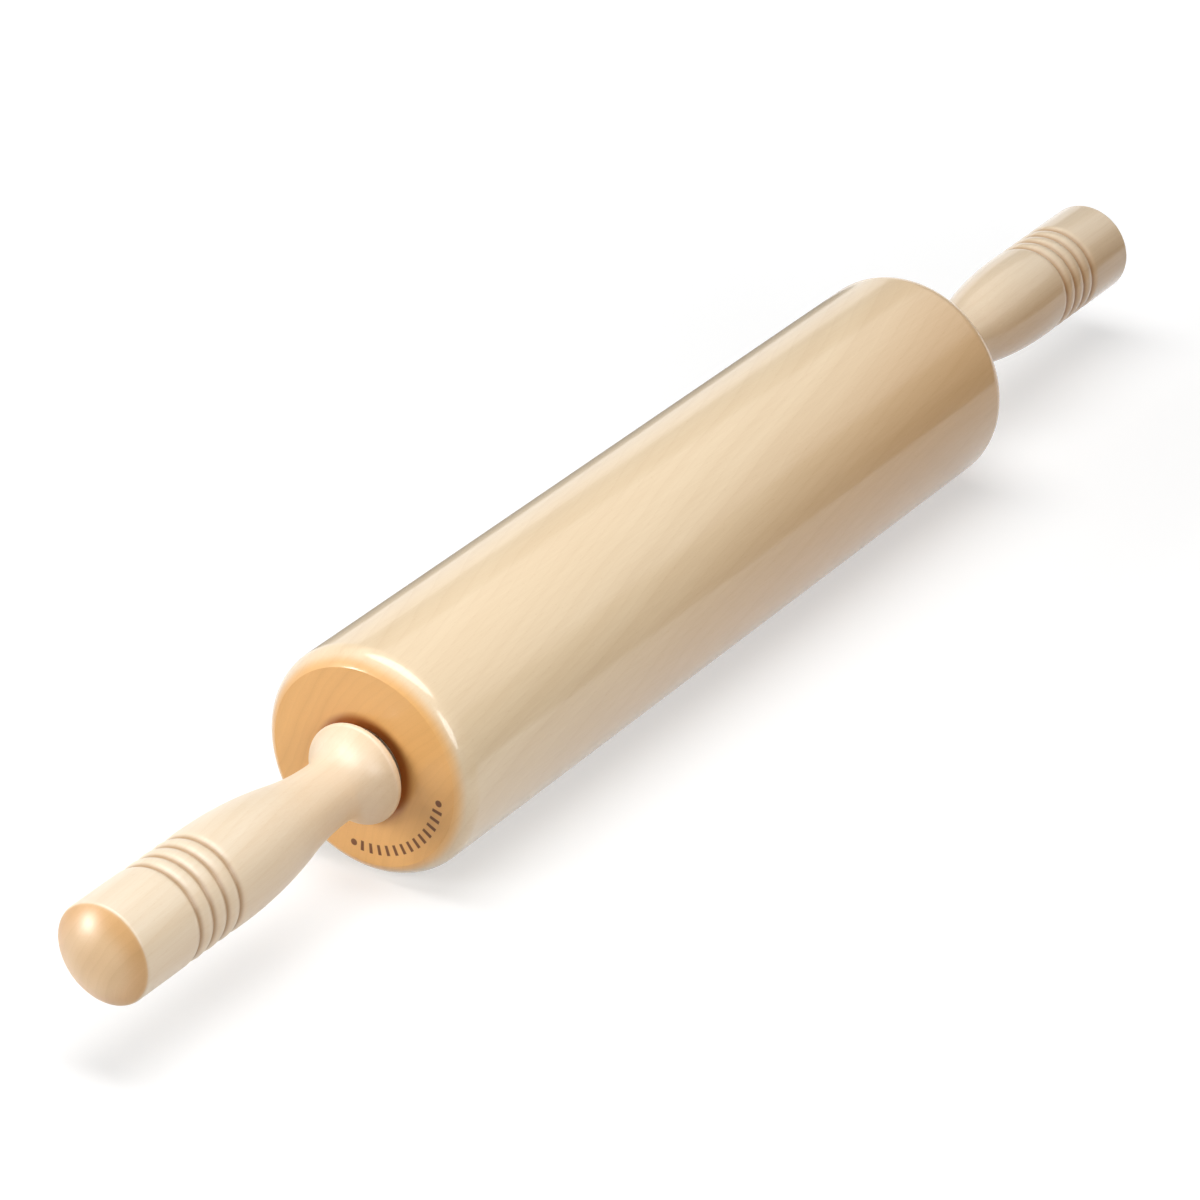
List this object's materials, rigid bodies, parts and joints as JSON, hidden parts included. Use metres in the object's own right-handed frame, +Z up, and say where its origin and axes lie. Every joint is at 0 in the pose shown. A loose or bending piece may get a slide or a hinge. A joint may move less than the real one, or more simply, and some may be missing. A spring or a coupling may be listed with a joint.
{
  "type": "rolling pin",
  "caption": "Wooden rolling pin: a round-rimmed barrel that turns on ball bearings round a steel axle, with turned handles that have a flange, a neck and ring grooves.",
  "frame": {"origin": "middle of the barrel, on the axle's centre line", "axes": "+X along the axle towards the right-hand handle; +Z up and +Y away from the baker, square to the axle; the pin is the same all round +X"},
  "size_m": [0.5534, 0.071, 0.071],
  "materials": {
    "maple_barrel": "satin clear finish on pale maple, honey end grain",
    "maple_handle": "satin clear finish on pale maple, honey end grain",
    "axle_steel": "ground bright steel",
    "spacer_steel": "turned steel",
    "bearing_steel": "ground bearing steel",
    "ball_steel": "polished",
    "shield_steel": "pressed sheet steel",
    "cage_nylon": "moulded nylon",
    "insert_brass": "turned brass"
  },
  "bodies": {
    "axle": {"axle_rod": "axle_steel", "handle_left": "maple_handle", "handle_right": "maple_handle", "threaded_insert_left": "insert_brass", "threaded_insert_right": "insert_brass", "spacer_washer_left": "spacer_steel", "spacer_washer_right": "spacer_steel", "bearing_inner_ring_left": "bearing_steel", "bearing_inner_ring_right": "bearing_steel"},
    "barrel": {"barrel": "maple_barrel", "bearing_outer_ring_left": "bearing_steel", "bearing_outer_ring_right": "bearing_steel", "outer_shield_left": "shield_steel", "outer_shield_right": "shield_steel", "inner_shield_left": "shield_steel", "inner_shield_right": "shield_steel"},
    "cage_left": {"bearing_cage_left": "cage_nylon", "bearing_balls_left": "ball_steel"},
    "cage_right": {"bearing_cage_right": "cage_nylon", "bearing_balls_right": "ball_steel"}
  },
  "joints": [
    {"name": "barrel_spin", "type": "hinge", "parent": "axle", "child": "barrel", "pos_m": [0, 0, 0], "axis": [1, 0, 0], "continuous": true},
    {"name": "left_cage_spin", "type": "hinge", "parent": "axle", "child": "cage_left", "pos_m": [-0.148, 0, 0], "axis": [1, 0, 0], "continuous": true},
    {"name": "right_cage_spin", "type": "hinge", "parent": "axle", "child": "cage_right", "pos_m": [0.148, 0, 0], "axis": [1, 0, 0], "continuous": true}
  ],
  "couplings": [
    {"joint": "left_cage_spin", "follows": "barrel_spin", "ratio": 0.63222},
    {"joint": "right_cage_spin", "follows": "barrel_spin", "ratio": 0.63222}
  ]
}
